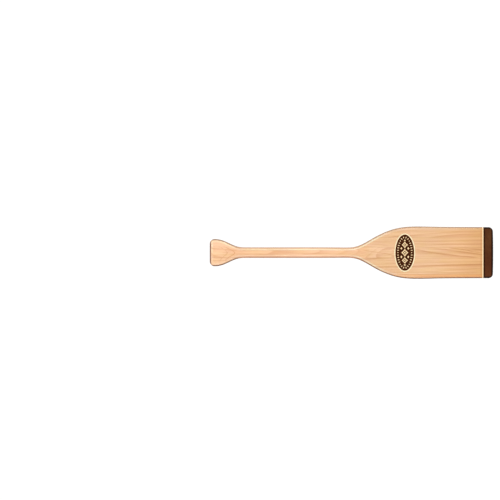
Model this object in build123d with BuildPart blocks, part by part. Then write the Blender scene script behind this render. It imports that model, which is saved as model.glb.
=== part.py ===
from build123d import *
import math
import os

# ---------------------------------------------------------------------------
# Laminated wooden paddle with one blade, standing on the tip of its blade.
# +Z runs up the shaft from the tip to the grip, X is the width of the blade,
# and Y is its thickness, with the front face towards -Y. Millimetres.
# The origin is on the axis, at the lowest point of the tip.
# ---------------------------------------------------------------------------

# heights along the paddle
LENGTH = 762.0            # tip to end of grip (a 30 in paddle)
GUARD_TOP = 26.3          # the resin tip guard ends here and the wood starts
TONGUE_BOTTOM = 12.0      # the wood runs on inside the guard as a thinner tongue
CROWN_START = 262.0       # the blade is flat below this height
CROWN_END = 408.0         # and has the full thickness of the shaft above this one
THROAT_START = 300.0      # here the thin edges of the blade start to swell into the shaft
MID_SHAFT = 500.0         # the shaft is narrower than the stick here: no side strips
GRIP_START = 640.0        # above this height the thickness follows GRIP_THICKNESS
GRIP_CORNER_Z = 749.0     # above this height the corners of the grip turn in

# stock and section sizes
SHAFT_HALF_T = 14.2       # 28.4 mm, 1-1/8 in stock sanded
BLADE_HALF_T = 4.6
BULLNOSE_R = BLADE_HALF_T  # the blade's edges are fully rounded
STICK_HALF_W = 14.3       # the laminated stick is both shaft and centre strip
CORE_HALF_T = 4.763       # core ply of the stick (3/8 in)
INNER_STRIP_X = 41.5      # glue line between the inner and the middle strip of the blade
MIDDLE_STRIP_X = 58.5     # glue line between the middle and the edge strip

# outline of the wood: (height, half width)
OUTLINE = [
    (GUARD_TOP, 68.60), (45, 68.65), (70, 68.74), (95, 68.84), (120, 69.00),
    (140, 69.20), (160, 69.60), (178, 70.03), (194, 70.32), (208, 70.33),
    (221, 70.00), (233, 69.25), (244, 68.08), (254, 66.48), (264, 64.26),
    (274, 61.36), (284, 57.83), (294, 53.76), (304, 49.21), (314, 44.09),
    (324, 38.45), (334, 32.60), (343, 27.40), (352, 22.70), (361, 18.80),
    (370, 15.95), (379, 14.40), (388, 13.85), (398, 13.75), (410, 13.85),
    (425, 14.00), (445, 14.10), (475, 14.20), (520, 14.20), (580, 14.20),
    (640, 14.20), (660, 14.20), (668, 14.20), (675, 14.36), (681, 14.98),
    (687, 16.15), (693, 18.00), (699, 20.35), (705, 23.10), (711, 26.00),
    (717, 28.80), (723, 31.40), (729, 33.60), (735, 35.25), (740, 36.15),
    (745, 36.55), (GRIP_CORNER_Z, 36.60),
]

# the grip thins from the shaft towards its end: (height, half thickness)
GRIP_THICKNESS = [
    (GRIP_START, SHAFT_HALF_T), (662, 14.20), (675, 13.95), (690, 13.20), (705, 12.15),
    (720, 11.05), (735, 10.05), (GRIP_CORNER_Z, 9.30), (755, 9.00), (LENGTH, 8.60),
]

# the rounded end of the grip
GRIP_CORNER_R = LENGTH - GRIP_CORNER_Z
GRIP_CORNER_HALF_W = OUTLINE[-1][1]
GRIP_END_HALF_T = 2.6
GRIP_END_DEGREES = (17, 32, 45, 57, 67, 74, 79)   # stations along the corner's quarter circle

# the tip guard and the tongue inside it
GUARD_HALF_W = OUTLINE[0][1]
GUARD_CORNER_R = 12.0
GUARD_BULGE = 0.8         # the tip bows out by this much at its middle
GUARD_FILLET = 4.55       # just under the half thickness
TONGUE_HALF_T = 2.0
TONGUE_HALF_W = 62.0
TONGUE_OVERLAP = 3.0      # the tongue runs this far up into the strips

# the badge on the front face
BADGE_Z = 238.0
BADGE_HALF_X = 51.5
BADGE_HALF_Z = 28.1
BADGE_THICK = 0.15
BADGE_SINK = 0.5          # it starts this deep in the blade, then the wood is cut away

# Bezier handles of a section, in units of the sizes they are multiplied by
CIRCLE_HANDLE = 0.5523    # a quarter circle, per radius
CROWN_HANDLE = 0.45       # the crown's handle in the blade, per half width of its flat
ROUND_JOINT = 0.7579      # where the shaft's two curves meet, per half size
ROUND_HANDLE = 0.2403     # handles at that joint
ROUND_TOP = 0.1784        # handles at the edge and the crown

# the stock blocks reach past the wood
FAR_X = 90.0
FAR_Y = 30.0
END_MARGIN = 5.0
STOCK_BOTTOM = GUARD_TOP - END_MARGIN
STOCK_TOP = LENGTH + END_MARGIN


# ---------------------------------------------------------------------------
# Sizes of the wood at a height
# ---------------------------------------------------------------------------
def smoothstep(start, end, value):
    s = min(1.0, max(0.0, (value - start) / (end - start)))
    return s * s * (3.0 - 2.0 * s)


def interpolate(table, value):
    """Monotone cubic interpolation, so a table of offsets never overshoots."""
    xs = [point[0] for point in table]
    ys = [point[1] for point in table]
    if value <= xs[0]:
        return ys[0]
    if value >= xs[-1]:
        return ys[-1]
    spans = len(xs) - 1
    slopes = [(ys[i + 1] - ys[i]) / (xs[i + 1] - xs[i]) for i in range(spans)]
    # tangents: weighted harmonic means of the slopes, level where the slope changes sign
    tangents = [slopes[0]] + [0.0] * (spans - 1) + [slopes[-1]]
    for i in range(1, spans):
        if slopes[i - 1] * slopes[i] > 0:
            before = xs[i] - xs[i - 1]
            after = xs[i + 1] - xs[i]
            weight0 = 2 * after + before
            weight1 = after + 2 * before
            tangents[i] = (weight0 + weight1) / (weight0 / slopes[i - 1] + weight1 / slopes[i])
    i = max(k for k in range(spans) if xs[k] <= value)
    step = xs[i + 1] - xs[i]
    t = (value - xs[i]) / step
    return (
        (2 * t**3 - 3 * t**2 + 1) * ys[i] + (t**3 - 2 * t**2 + t) * step * tangents[i]
        + (-2 * t**3 + 3 * t**2) * ys[i + 1] + (t**3 - t**2) * step * tangents[i + 1]
    )


def corner_inset(z):
    """How far the grip's end has turned in: 0 where the corner starts, 1 at the end."""
    s = (z - GRIP_CORNER_Z) / (LENGTH - GRIP_CORNER_Z)
    return 1 - math.sqrt(max(0.0, 1 - s * s))


def half_width(z):
    if z > GRIP_CORNER_Z:
        return GRIP_CORNER_HALF_W - GRIP_CORNER_R * corner_inset(z)
    return interpolate(OUTLINE, z)


def crown_height(z):
    """Half thickness on the axis."""
    if z > GRIP_START:
        crown = interpolate(GRIP_THICKNESS, z)
        if z > GRIP_CORNER_Z:
            crown -= (crown - GRIP_END_HALF_T) * corner_inset(z)
        return crown
    swell = smoothstep(CROWN_START, CROWN_END, z)
    return BLADE_HALF_T + (SHAFT_HALF_T - BLADE_HALF_T) * swell


def quarter_section(z):
    """Control points of two cubics from the right edge (width, 0) to the crown (0, crown):
    a thin slab with a bullnose in the blade, a squarish round in the shaft and the grip,
    and a blend of the two in the throat."""
    width = half_width(z)
    crown = crown_height(z)
    flat = width - BULLNOSE_R
    handle = CIRCLE_HANDLE * BULLNOSE_R
    slab = [
        (width, handle),
        (flat + handle, BLADE_HALF_T),
        (flat, BLADE_HALF_T),
        (flat - handle, BLADE_HALF_T),
        (CROWN_HANDLE * flat, crown),
    ]
    thick = crown if z > GRIP_START else SHAFT_HALF_T
    low = ROUND_JOINT - ROUND_HANDLE
    high = ROUND_JOINT + ROUND_HANDLE
    rounded = [
        (width, ROUND_TOP * thick),
        (high * width, low * thick),
        (ROUND_JOINT * width, ROUND_JOINT * thick),
        (low * width, high * thick),
        (ROUND_TOP * width, crown),
    ]
    blend = smoothstep(THROAT_START, CROWN_END, z)
    middle = [
        ((1 - blend) * sx + blend * rx, (1 - blend) * sy + blend * ry)
        for (sx, sy), (rx, ry) in zip(slab, rounded)
    ]
    return [(width, 0.0)] + middle + [(0.0, crown)]


def stations():
    """Pairs of heights: where a section's shape is taken, and where it is placed.
    They differ only in the rounded end, stretched so the last section is at LENGTH."""
    heights = [z for z, _ in OUTLINE]
    pairs = [(z, z) for z in heights]
    rises = [GRIP_CORNER_R * math.sin(math.radians(degrees)) for degrees in GRIP_END_DEGREES]
    stretch = GRIP_CORNER_R / rises[-1]
    for rise in rises:
        pairs.append((GRIP_CORNER_Z + rise, GRIP_CORNER_Z + rise * stretch))
    return pairs


# ---------------------------------------------------------------------------
# The sanded outside shape of all the wood together, lofted through its stations.
# Only its back half (+Y) is lofted, because the two faces are mirror images.
# Each strip is the part of this shape that falls inside its own stock.
# ---------------------------------------------------------------------------
def section_face(z_shape, z_place):
    right = quarter_section(z_shape)
    left = [(-x, y) for x, y in right]
    with BuildLine(Plane.XY.offset(z_place)) as outline:
        Bezier(*right[0:4])
        Bezier(*right[3:7])
        Bezier(*reversed(left[3:7]))
        Bezier(*reversed(left[0:4]))
        Line(left[0], right[0])
    return Face(Wire(outline.edges()))


def make_back_half():
    faces = [section_face(z_shape, z_place) for z_shape, z_place in stations()]
    with BuildPart() as half:
        loft(sections=faces, clean=False)
    return half.part


def mirrored(part, plane, clean=True):
    with BuildPart() as image:
        add(part, clean=clean)
        mirror(about=plane, mode=Mode.REPLACE)
    return image.part


def stock(x0, x1, y0, y1, z0, z1):
    """A sawn strip of stock between two corners."""
    with BuildPart() as block:
        with BuildSketch(Plane.XY.offset(z0)):
            with Locations(((x0 + x1) / 2, (y0 + y1) / 2)):
                Rectangle(x1 - x0, y1 - y0)
        extrude(amount=z1 - z0)
    return block.part


def tongue(x0, x1):
    """A strip's share of the tongue, running up a little into the strip."""
    top = GUARD_TOP + TONGUE_OVERLAP
    return stock(x0, x1, -TONGUE_HALF_T, TONGUE_HALF_T, TONGUE_BOTTOM, top)


def sanded(back_half, block, tongue_part=None):
    """The wood inside a block of stock, front and back, with its share of the tongue."""
    with BuildPart() as strip:
        add(back_half, clean=False)
        add(block, mode=Mode.INTERSECT)
        mirror(about=Plane.XZ)
        if tongue_part is not None:
            add(tongue_part)
    return strip.part


def make_core_ply(back_half):
    block = stock(
        -STICK_HALF_W, STICK_HALF_W, -CORE_HALF_T, CORE_HALF_T, STOCK_BOTTOM, STOCK_TOP
    )
    return sanded(back_half, block, tongue(-STICK_HALF_W, STICK_HALF_W))


def make_back_ply(back_half):
    """The ply behind the core; the flat of the blade is too thin to reach it."""
    block = stock(-STICK_HALF_W, STICK_HALF_W, CORE_HALF_T, FAR_Y, CROWN_START, STOCK_TOP)
    with BuildPart() as ply:
        add(back_half, clean=False)
        add(block, mode=Mode.INTERSECT)
    return ply.part


def make_blade_strip(back_half, x0, x1, tongue_x1):
    """A right-hand blade strip."""
    block = stock(x0, x1, -FAR_Y, FAR_Y, STOCK_BOTTOM, MID_SHAFT)
    return sanded(back_half, block, tongue(x0, tongue_x1))


def make_grip_cheek(back_half):
    """The right-hand side of the grip, outside the stick."""
    block = stock(STICK_HALF_W, FAR_X, -FAR_Y, FAR_Y, MID_SHAFT, STOCK_TOP)
    return sanded(back_half, block)


def make_tip_guard():
    """A cast resin cap, round edged, with a groove that fits the tongue."""
    with BuildPart() as guard:
        with BuildSketch(Plane.XZ):
            with BuildLine():
                Polyline(
                    (-GUARD_HALF_W, GUARD_BULGE), (-GUARD_HALF_W, GUARD_TOP),
                    (GUARD_HALF_W, GUARD_TOP), (GUARD_HALF_W, GUARD_BULGE),
                )
                ThreePointArc((GUARD_HALF_W, GUARD_BULGE), (0, 0), (-GUARD_HALF_W, GUARD_BULGE))
            make_face()
            fillet(vertices().group_by(Axis.Y)[0], radius=GUARD_CORNER_R)
        extrude(amount=BLADE_HALF_T, both=True)
        # the edges of both faces, except along the joint with the wood
        rim = [
            e for e in edges()
            if abs(abs(e.center().Y) - BLADE_HALF_T) < 0.01 and e.center().Z < GUARD_TOP - 0.01
        ]
        fillet(rim, radius=GUARD_FILLET)
        with BuildSketch(Plane.XY.offset(GUARD_TOP)):
            Rectangle(2 * TONGUE_HALF_W, 2 * TONGUE_HALF_T)
        extrude(amount=TONGUE_BOTTOM - GUARD_TOP, mode=Mode.SUBTRACT)
    return guard.part


def make_badge(front_half):
    """A thin oval film that lies on the flat of the front face."""
    with BuildPart() as badge:
        with BuildSketch(Plane.XZ.offset(BLADE_HALF_T - BADGE_SINK)):
            with Locations((0, BADGE_Z)):
                Ellipse(BADGE_HALF_X, BADGE_HALF_Z)
        extrude(amount=BADGE_SINK + BADGE_THICK)
        add(front_half, mode=Mode.SUBTRACT)
    return badge.part


# ---------------------------------------------------------------------------
# Build and export
# ---------------------------------------------------------------------------
back_half = make_back_half()
front_half = mirrored(back_half, Plane.XZ, clean=False)

back_ply = make_back_ply(back_half)
pieces = {
    "shaft_core_ply": make_core_ply(back_half),
    "shaft_front_ply": mirrored(back_ply, Plane.XZ),
    "shaft_back_ply": back_ply,
}

# pieces that come in pairs; the left one is the right one mirrored
right_pieces = {
    "blade_inner_strip": make_blade_strip(
        back_half, STICK_HALF_W, INNER_STRIP_X, tongue_x1=INNER_STRIP_X
    ),
    "blade_middle_strip": make_blade_strip(
        back_half, INNER_STRIP_X, MIDDLE_STRIP_X, tongue_x1=MIDDLE_STRIP_X
    ),
    "blade_edge_strip": make_blade_strip(
        back_half, MIDDLE_STRIP_X, FAR_X, tongue_x1=TONGUE_HALF_W
    ),
    "grip_cheek": make_grip_cheek(back_half),
}
for name, part in right_pieces.items():
    pieces[name + "_right"] = part
    pieces[name + "_left"] = mirrored(part, Plane.YZ)

pieces["tip_guard"] = make_tip_guard()
pieces["blade_badge"] = make_badge(front_half)

os.makedirs("parts", exist_ok=True)
for name, part in pieces.items():
    part.label = name
    export_step(part, f"parts/{name}.step")
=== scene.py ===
import math

import bpy
import numpy as np
from mathutils import Matrix, Vector


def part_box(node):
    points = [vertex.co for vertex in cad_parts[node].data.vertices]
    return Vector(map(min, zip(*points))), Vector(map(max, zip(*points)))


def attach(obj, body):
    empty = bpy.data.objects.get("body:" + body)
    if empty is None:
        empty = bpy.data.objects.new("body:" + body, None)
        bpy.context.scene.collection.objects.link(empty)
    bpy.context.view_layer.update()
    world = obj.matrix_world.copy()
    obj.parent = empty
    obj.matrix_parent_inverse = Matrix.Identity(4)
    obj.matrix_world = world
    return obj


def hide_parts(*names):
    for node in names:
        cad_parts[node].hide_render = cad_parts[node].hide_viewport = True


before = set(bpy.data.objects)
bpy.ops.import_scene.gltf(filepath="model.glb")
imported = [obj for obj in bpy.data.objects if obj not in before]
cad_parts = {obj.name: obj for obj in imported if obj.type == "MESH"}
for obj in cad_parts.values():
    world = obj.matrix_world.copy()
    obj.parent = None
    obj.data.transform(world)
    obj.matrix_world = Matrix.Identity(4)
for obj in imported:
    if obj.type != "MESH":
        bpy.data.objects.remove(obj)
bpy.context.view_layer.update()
scene = bpy.context.scene

# ----------------------------------------------------------------------------
# Sizes, in mm. Widths and depths are halves, measured from the middle planes.
# ----------------------------------------------------------------------------
MM = 0.001                      # metres in a millimetre
LENGTH = 762.0
GUARD_TOP = round(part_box("tip_guard")[1].z / MM, 2)
TONGUE_BOTTOM = round(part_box("shaft_core_ply")[0].z / MM, 2)

BLADE_DEPTH = 4.6
SHAFT_DEPTH = 14.2
EDGE_RADIUS = BLADE_DEPTH       # the blade's edge is a full round
CROWN_START = 262.0             # the blade starts to thicken towards the shaft
THROAT_START = 300.0            # its section starts to turn round
CROWN_END = 408.0               # the shaft's full section is reached

CORE_X = 14.3                   # glue lines between core, inner, middle and edge strips
INNER_X = 41.5
MIDDLE_X = 58.5
PLY_Y = 4.763                   # glue plane between the core and each outer ply
TONGUE_DEPTH = 2.0              # the wood's tongue in the tip guard
TONGUE_WIDTH = 62.0

THINNING_START = 640.0          # the shaft starts to thin towards the grip
GRIP_RADIUS = 13.0              # rounding of the grip's upper end
GRIP_ROUND_START = LENGTH - GRIP_RADIUS
GRIP_WIDTH = 36.6
GRIP_END_DEPTH = 2.6

# height, half width
OUTLINE = [
    (26.3, 68.60), (45, 68.65), (70, 68.74), (95, 68.84), (120, 69.00),
    (140, 69.20), (160, 69.60), (178, 70.03), (194, 70.32), (208, 70.33),
    (221, 70.00), (233, 69.25), (244, 68.08), (254, 66.48), (264, 64.26),
    (274, 61.36), (284, 57.83), (294, 53.76), (304, 49.21), (314, 44.09),
    (324, 38.45), (334, 32.60), (343, 27.40), (352, 22.70), (361, 18.80),
    (370, 15.95), (379, 14.40), (388, 13.85), (398, 13.75), (410, 13.85),
    (425, 14.00), (445, 14.10), (475, 14.20), (520, 14.20), (580, 14.20),
    (640, 14.20), (660, 14.20), (668, 14.20), (675, 14.36), (681, 14.98),
    (687, 16.15), (693, 18.00), (699, 20.35), (705, 23.10), (711, 26.00),
    (717, 28.80), (723, 31.40), (729, 33.60), (735, 35.25), (740, 36.15),
    (745, 36.55), (749, 36.60),
]
# height, half depth
GRIP_DEPTHS = [
    (640, 14.20), (662, 14.20), (675, 13.95), (690, 13.20), (705, 12.15),
    (720, 11.05), (735, 10.05), (749, 9.30), (755, 9.00), (762, 8.60),
]


# ----------------------------------------------------------------------------
# The sanded surface
# ----------------------------------------------------------------------------
def spline(table, where):
    """Monotone cubic through a table, for one position or an array of them."""
    x, y = np.array(table, float).T
    slope = np.diff(y) / np.diff(x)
    tangent = np.zeros(len(x))
    tangent[0], tangent[-1] = slope[0], slope[-1]
    for i in range(1, len(x) - 1):
        if slope[i - 1] * slope[i] > 0:
            before, after = x[i] - x[i - 1], x[i + 1] - x[i]
            weight_a, weight_b = 2 * after + before, after + 2 * before
            tangent[i] = (weight_a + weight_b) / (weight_a / slope[i - 1] + weight_b / slope[i])
    where = np.clip(np.asarray(where, float), x[0], x[-1])
    i = np.clip(np.searchsorted(x, where, side="right") - 1, 0, len(x) - 2)
    gap = x[i + 1] - x[i]
    part = (where - x[i]) / gap
    return (
        (2 * part**3 - 3 * part**2 + 1) * y[i]
        + (part**3 - 2 * part**2 + part) * gap * tangent[i]
        + (-2 * part**3 + 3 * part**2) * y[i + 1]
        + (part**3 - part**2) * gap * tangent[i + 1]
    )


def smooth_step(start, end, value):
    part = np.clip((np.asarray(value, float) - start) / (end - start), 0, 1)
    return part * part * (3 - 2 * part)


FAIR_STEP = 0.5
FAIR_SPREAD = 4.0               # width of the smoothing bell
FAIR_REACH = 30                 # steps it covers on each side
FAIR_HEIGHTS = np.arange(20.0, 749.01, FAIR_STEP)


def fair_outline():
    """The outline smoothed a little so that reflections run without a ripple, but not at its ends."""
    measured = spline(OUTLINE, FAIR_HEIGHTS)
    bell = np.exp(-0.5 * (np.arange(-FAIR_REACH, FAIR_REACH + 1) * FAIR_STEP / FAIR_SPREAD) ** 2)
    bell /= bell.sum()
    smooth = np.convolve(np.pad(measured, FAIR_REACH, mode="edge"), bell, mode="valid")
    at_end = smooth_step(742, 749, FAIR_HEIGHTS) + (1 - smooth_step(26.3, 40, FAIR_HEIGHTS))
    return smooth * (1 - at_end) + measured * at_end


FAIR_WIDTHS = fair_outline()


def end_rounding(z):
    """How far the round of the grip's end has turned in: 0 where it starts and 1 at the top."""
    part = min(1.0, (z - GRIP_ROUND_START) / (LENGTH - GRIP_ROUND_START))
    return 1 - math.sqrt(max(0.0, 1 - part * part))


def half_width(z):
    if z > GRIP_ROUND_START:
        return GRIP_WIDTH - GRIP_RADIUS * end_rounding(z)
    return float(np.interp(z, FAIR_HEIGHTS, FAIR_WIDTHS))


def crown(z):
    """Half depth on the centre line."""
    if z > THINNING_START:
        depth = float(spline(GRIP_DEPTHS, z))
        if z > GRIP_ROUND_START:
            depth -= (depth - GRIP_END_DEPTH) * end_rounding(z)
        return depth
    rise = float(smooth_step(CROWN_START, CROWN_END, z))
    return BLADE_DEPTH + (SHAFT_DEPTH - BLADE_DEPTH) * rise


QUARTER_ROUND = 0.5523          # handle length of a cubic quarter circle, for a radius of 1
# an oval as two cubics, for half axes of 1: where they meet, the handles there, the end handles
OVAL_JOIN, OVAL_HANDLE, OVAL_END = 0.7579, 0.2403, 0.1784


def control_points(z):
    """Points of two joined cubics from the edge to the crown: a blend of slab and oval."""
    width, top = half_width(z), crown(z)
    blend = float(smooth_step(THROAT_START, CROWN_END, z))
    depth = top if z > THINNING_START else SHAFT_DEPTH
    handle = QUARTER_ROUND * EDGE_RADIUS
    flat = width - EDGE_RADIUS
    slab = [
        (width, handle), (flat + handle, BLADE_DEPTH), (flat, BLADE_DEPTH),
        (flat - handle, BLADE_DEPTH), (0.45 * flat, top),
    ]
    near, far = OVAL_JOIN - OVAL_HANDLE, OVAL_JOIN + OVAL_HANDLE
    oval = [
        (width, OVAL_END * depth), (far * width, near * depth),
        (OVAL_JOIN * width, OVAL_JOIN * depth),
        (near * width, far * depth), (OVAL_END * width, top),
    ]
    middle = (1 - blend) * np.array(slab) + blend * np.array(oval)
    return np.vstack([[(width, 0.0)], middle, [(0.0, top)]])


# "turn" runs from 0 at the edge, through 1 where the cubics join, to 2 at the crown
TURNS = np.linspace(0.0, 2.0, 401)


def bezier(points, part):
    rest = 1 - part
    return (
        rest**3 * points[0] + 3 * part * rest**2 * points[1]
        + 3 * part * part * rest * points[2] + part**3 * points[3]
    )


quarter_sections = {}


def quarter(z):
    """The quarter section at height z: an (x, y) for each of TURNS."""
    key = round(z, 4)
    if key not in quarter_sections:
        points = control_points(z)
        quarter_sections[key] = np.vstack([
            bezier(points[0:4], TURNS[:200, None]),
            bezier(points[3:7], TURNS[200:, None] - 1.0),
        ])
    return quarter_sections[key]


def turn_at_x(z, x):
    section = quarter(z)
    return np.interp(x, section[::-1, 0], TURNS[::-1])


def turn_at_y(z, y):
    return np.interp(y, quarter(z)[:, 1], TURNS)


def section_points(section, turns):
    return np.stack([np.interp(turns, TURNS, section[:, i]) for i in (0, 1)], 1)


def surface(z, turns):
    """Points (x, y) and outward normals (x, y, z) of the upper right quarter at height z."""
    turns = np.atleast_1d(np.asarray(turns, float))
    section = quarter(z)
    points = section_points(section, turns)
    reach = 0.01
    along = (section_points(section, np.clip(turns + reach, 0, 2))
             - section_points(section, np.clip(turns - reach, 0, 2)))
    # the section is symmetric, so its tangent is upright at the edge and level at the crown
    along[turns <= reach] = (0.0, 1.0)
    along[turns >= 2 - reach] = (-1.0, 0.0)
    rise = 0.6 if z < GRIP_ROUND_START - 1 else 0.02
    below, above = max(z - rise, GUARD_TOP), min(z + rise, LENGTH)
    upward = (section_points(quarter(above), turns)
              - section_points(quarter(below), turns)) / (above - below)
    lift = along[:, 0] * upward[:, 1] - along[:, 1] * upward[:, 0]
    normals = np.stack([along[:, 1], -along[:, 0], lift], 1)
    normals /= np.linalg.norm(normals, axis=1, keepdims=True)
    return points, normals


def surface_y(z, x):
    return float(surface(z, turn_at_x(z, abs(x)))[0][0, 1])


def crossing(function, low, high):
    """The height where the function changes sign."""
    start_sign = function(low) > 0
    for _ in range(60):
        middle = (low + high) / 2
        if (function(middle) > 0) == start_sign:
            low = middle
        else:
            high = middle
    return (low + high) / 2


def strip_end(x):
    """Height at which the blade's outline narrows to a glue line."""
    return crossing(lambda z: half_width(z) - x, 210.0, 395.0)


def ply_start(x):
    return crossing(lambda z: surface_y(z, x) - PLY_Y, 262.0, 330.0)


def ply_end(x):
    return crossing(lambda z: surface_y(z, x) - PLY_Y, GRIP_ROUND_START, LENGTH)


# height at which the grip grows wider than the core
CHEEK_START = crossing(lambda z: half_width(z) - CORE_X, 640.0, 700.0)

# heights where a glue line runs out at the edge, or an outer ply starts or ends
RUNOUTS = [strip_end(x) for x in (CORE_X, INNER_X, MIDDLE_X)] + [CHEEK_START]
for ply_x in (0.0, 0.7 * CORE_X, CORE_X):
    RUNOUTS += [ply_start(ply_x), ply_end(ply_x)]

# from height, to height, gap between rings
RING_GAPS = (
    (GUARD_TOP, 190, 8.0), (190, 262, 4.5), (262, 392, 2.5), (392, 420, 4.0), (420, 660, 12.0),
    (660, 684, 3.0), (684, GRIP_ROUND_START, 2.2),
)
RUNOUT_GAPS = (-3.0, -1.4, -0.55, 0.0, 0.55, 1.4, 3.0)


def heights(bottom, top):
    """Heights of the rings: close where the shape turns and on both sides of each runout."""
    marks = []
    for start, end, gap in RING_GAPS:
        marks += list(np.linspace(start, end, max(1, int(round((end - start) / gap))) + 1))
    marks += [GRIP_ROUND_START + GRIP_RADIUS * math.sin(math.radians(angle))
              for angle in range(8, 90, 7)]
    marks.append(LENGTH)
    marks = [mark for mark in marks if all(abs(mark - runout) > 0.45 for runout in RUNOUTS)]
    for runout in RUNOUTS:
        gaps = RUNOUT_GAPS if 295 < runout < 749 else (0.0,)
        marks += [runout + gap for gap in gaps
                  if all(abs(runout + gap - mark) > 0.3 for mark in marks)]
    marks = sorted(set(round(mark, 5) for mark in marks))
    return [bottom] + [mark for mark in marks if bottom + 0.25 < mark < top - 0.04] + [top]


# ----------------------------------------------------------------------------
# Mesh builder
# ----------------------------------------------------------------------------
def neighbours(count):
    """Index pairs round a closed ring."""
    return [(i, (i + 1) % count) for i in range(count)]


class Mesh:
    """Points in mm, faces, a normal for each face corner and a material slot for each face."""

    def __init__(self):
        self.points, self.faces, self.normals, self.slots = [], [], [], []

    def add(self, points):
        start = len(self.points)
        self.points.extend([tuple(map(float, point)) for point in points])
        return list(range(start, start + len(points)))

    def face(self, indices, normals=None, slot=0):
        """Add a face. Without normals it is shaded flat."""
        self.faces.append(tuple(indices))
        if normals is None:
            here = np.array([self.points[i] for i in indices])
            after = np.roll(here, -1, axis=0)
            normal = np.array([
                np.sum((here[:, i] - after[:, i]) * (here[:, j] + after[:, j]))
                for i, j in ((1, 2), (2, 0), (0, 1))
            ])
            size = np.linalg.norm(normal)
            normal = normal / size if size > 1e-12 else np.array([0.0, 0.0, 1.0])
            normals = [normal] * len(indices)
        self.normals.append([np.asarray(normal, float) for normal in normals])
        self.slots.append(slot)

    def join(self, *ring_pairs, backward=False, slot=0):
        """Flat-shaded quads between pairs of closed rings."""
        for i, j in neighbours(len(ring_pairs[0][0])):
            if backward:
                i, j = j, i
            for first, second in ring_pairs:
                self.face((first[i], first[j], second[j], second[i]), slot=slot)

    def mirrored(self, flip):
        """A copy multiplied by flip, which turns one axis round."""
        flip = np.array(flip)
        copy = Mesh()
        copy.points = [tuple(np.array(point) * flip) for point in self.points]
        copy.faces = [tuple(reversed(face)) for face in self.faces]
        copy.normals = [[normal * flip for normal in reversed(corners)]
                        for corners in self.normals]
        copy.slots = list(self.slots)
        return copy

    def build(self, name, materials):
        """Make the object: weld points that coincide and drop faces that close up."""
        seen, kept, welded = {}, [], []
        for point in np.array(self.points) * MM:
            key = tuple(np.round(point / 2e-7).astype(int))
            if key not in seen:
                seen[key] = len(kept)
                kept.append(point)
            welded.append(seen[key])
        faces, normals, slots = [], [], []
        for face, face_normals, slot in zip(self.faces, self.normals, self.slots):
            ring, ring_normals = [], []
            for i, normal in zip(face, face_normals):
                if not ring or welded[i] != ring[-1]:
                    ring.append(welded[i])
                    ring_normals.append(normal)
            if len(ring) > 1 and ring[0] == ring[-1]:
                ring.pop()
                ring_normals.pop()
            if len(set(ring)) == len(ring) and len(ring) > 2:
                faces.append(ring)
                normals += ring_normals
                slots.append(slot)
        used = sorted({i for face in faces for i in face})
        new_index = {old: new for new, old in enumerate(used)}
        mesh = bpy.data.meshes.new(name)
        mesh.from_pydata([tuple(kept[i]) for i in used], [],
                         [[new_index[i] for i in face] for face in faces])
        for material in materials:
            mesh.materials.append(material)
        mesh.polygons.foreach_set("material_index", slots)
        mesh.polygons.foreach_set("use_smooth", [True] * len(faces))
        mesh.update()
        corners = []
        for normal in normals:
            size = np.linalg.norm(normal)
            corners.append(tuple(normal / size) if size > 1e-9 else (0.0, 0.0, 1.0))
        mesh.normals_split_custom_set(corners)
        built = bpy.data.objects.new(name, mesh)
        scene.collection.objects.link(built)
        return built


# ----------------------------------------------------------------------------
# Blade strips and grip cheeks: right-hand pieces that show on both faces
# ----------------------------------------------------------------------------
def run_lengths(points):
    """Distance travelled along a line of points."""
    return np.concatenate([[0], np.cumsum(np.linalg.norm(np.diff(points, axis=0), axis=1))])


def outer_side(z, turn, x_limit, top_y, flat, steps):
    """Points and normals from a section's upper corner down to the middle plane, corner left out."""
    if flat:
        points = np.stack([np.full(steps, x_limit), np.linspace(top_y, 0, steps + 1)[1:]], 1)
        normals = np.tile([1.0, 0.0, 0.0], (steps, 1))
    else:
        fine, fine_normals = surface(z, np.linspace(turn, 0, 60))
        fine[:, 0] = np.minimum(fine[:, 0], x_limit)
        run = run_lengths(fine)
        stops = np.linspace(0, run[-1], steps + 1)[1:]
        points = np.stack([np.interp(stops, run, fine[:, i]) for i in range(2)], 1)
        normals = np.stack([np.interp(stops, run, fine_normals[:, i]) for i in range(3)], 1)
    points[-1, 1] = 0.0
    return points, normals


def close_ring(upper, inner_x, z):
    """Mirror the upper points below the middle plane, then add one point on the inner side."""
    ring = [(x, y, z) for x, y in upper]
    ring += [(x, -y, z) for x, y, _ in reversed(ring[:-1])]
    return ring + [(inner_x, 0.0, z)]


def strip_section(z, inner_x, outer_x, face_steps, side_steps):
    """A strip's ring, its normals, and whether its outer side is a flat glue joint."""
    width = half_width(z)
    if width - inner_x > 1.4:
        corner_x = min(outer_x, width - 0.3 * min(EDGE_RADIUS, width * 0.3))
    else:
        corner_x = inner_x + 0.5 * max(width - inner_x, 0.0)
    corner_x = max(min(corner_x, outer_x), inner_x)
    face_x = np.linspace(inner_x, corner_x, face_steps + 1)
    face, face_normals = surface(z, turn_at_x(z, face_x))
    face[:, 0] = face_x
    flat = corner_x >= outer_x - 1e-9
    side, side_normals = outer_side(z, float(turn_at_x(z, corner_x)), outer_x, face[-1, 1],
                                    flat, side_steps)
    normals = list(face_normals) + list(side_normals)
    normals += [normal * np.array([1, -1, 1]) for normal in reversed(normals[:-1])]
    normals.append(np.array([-1.0, 0, 0]))
    return close_ring(list(face) + list(side), inner_x, z), normals, flat


def strip_kinds(face_steps, side_steps):
    """Which part of the strip each edge of its ring belongs to."""
    return ["face"] * face_steps + ["side"] * 2 * side_steps + ["face"] * face_steps + ["inner"] * 2


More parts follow.
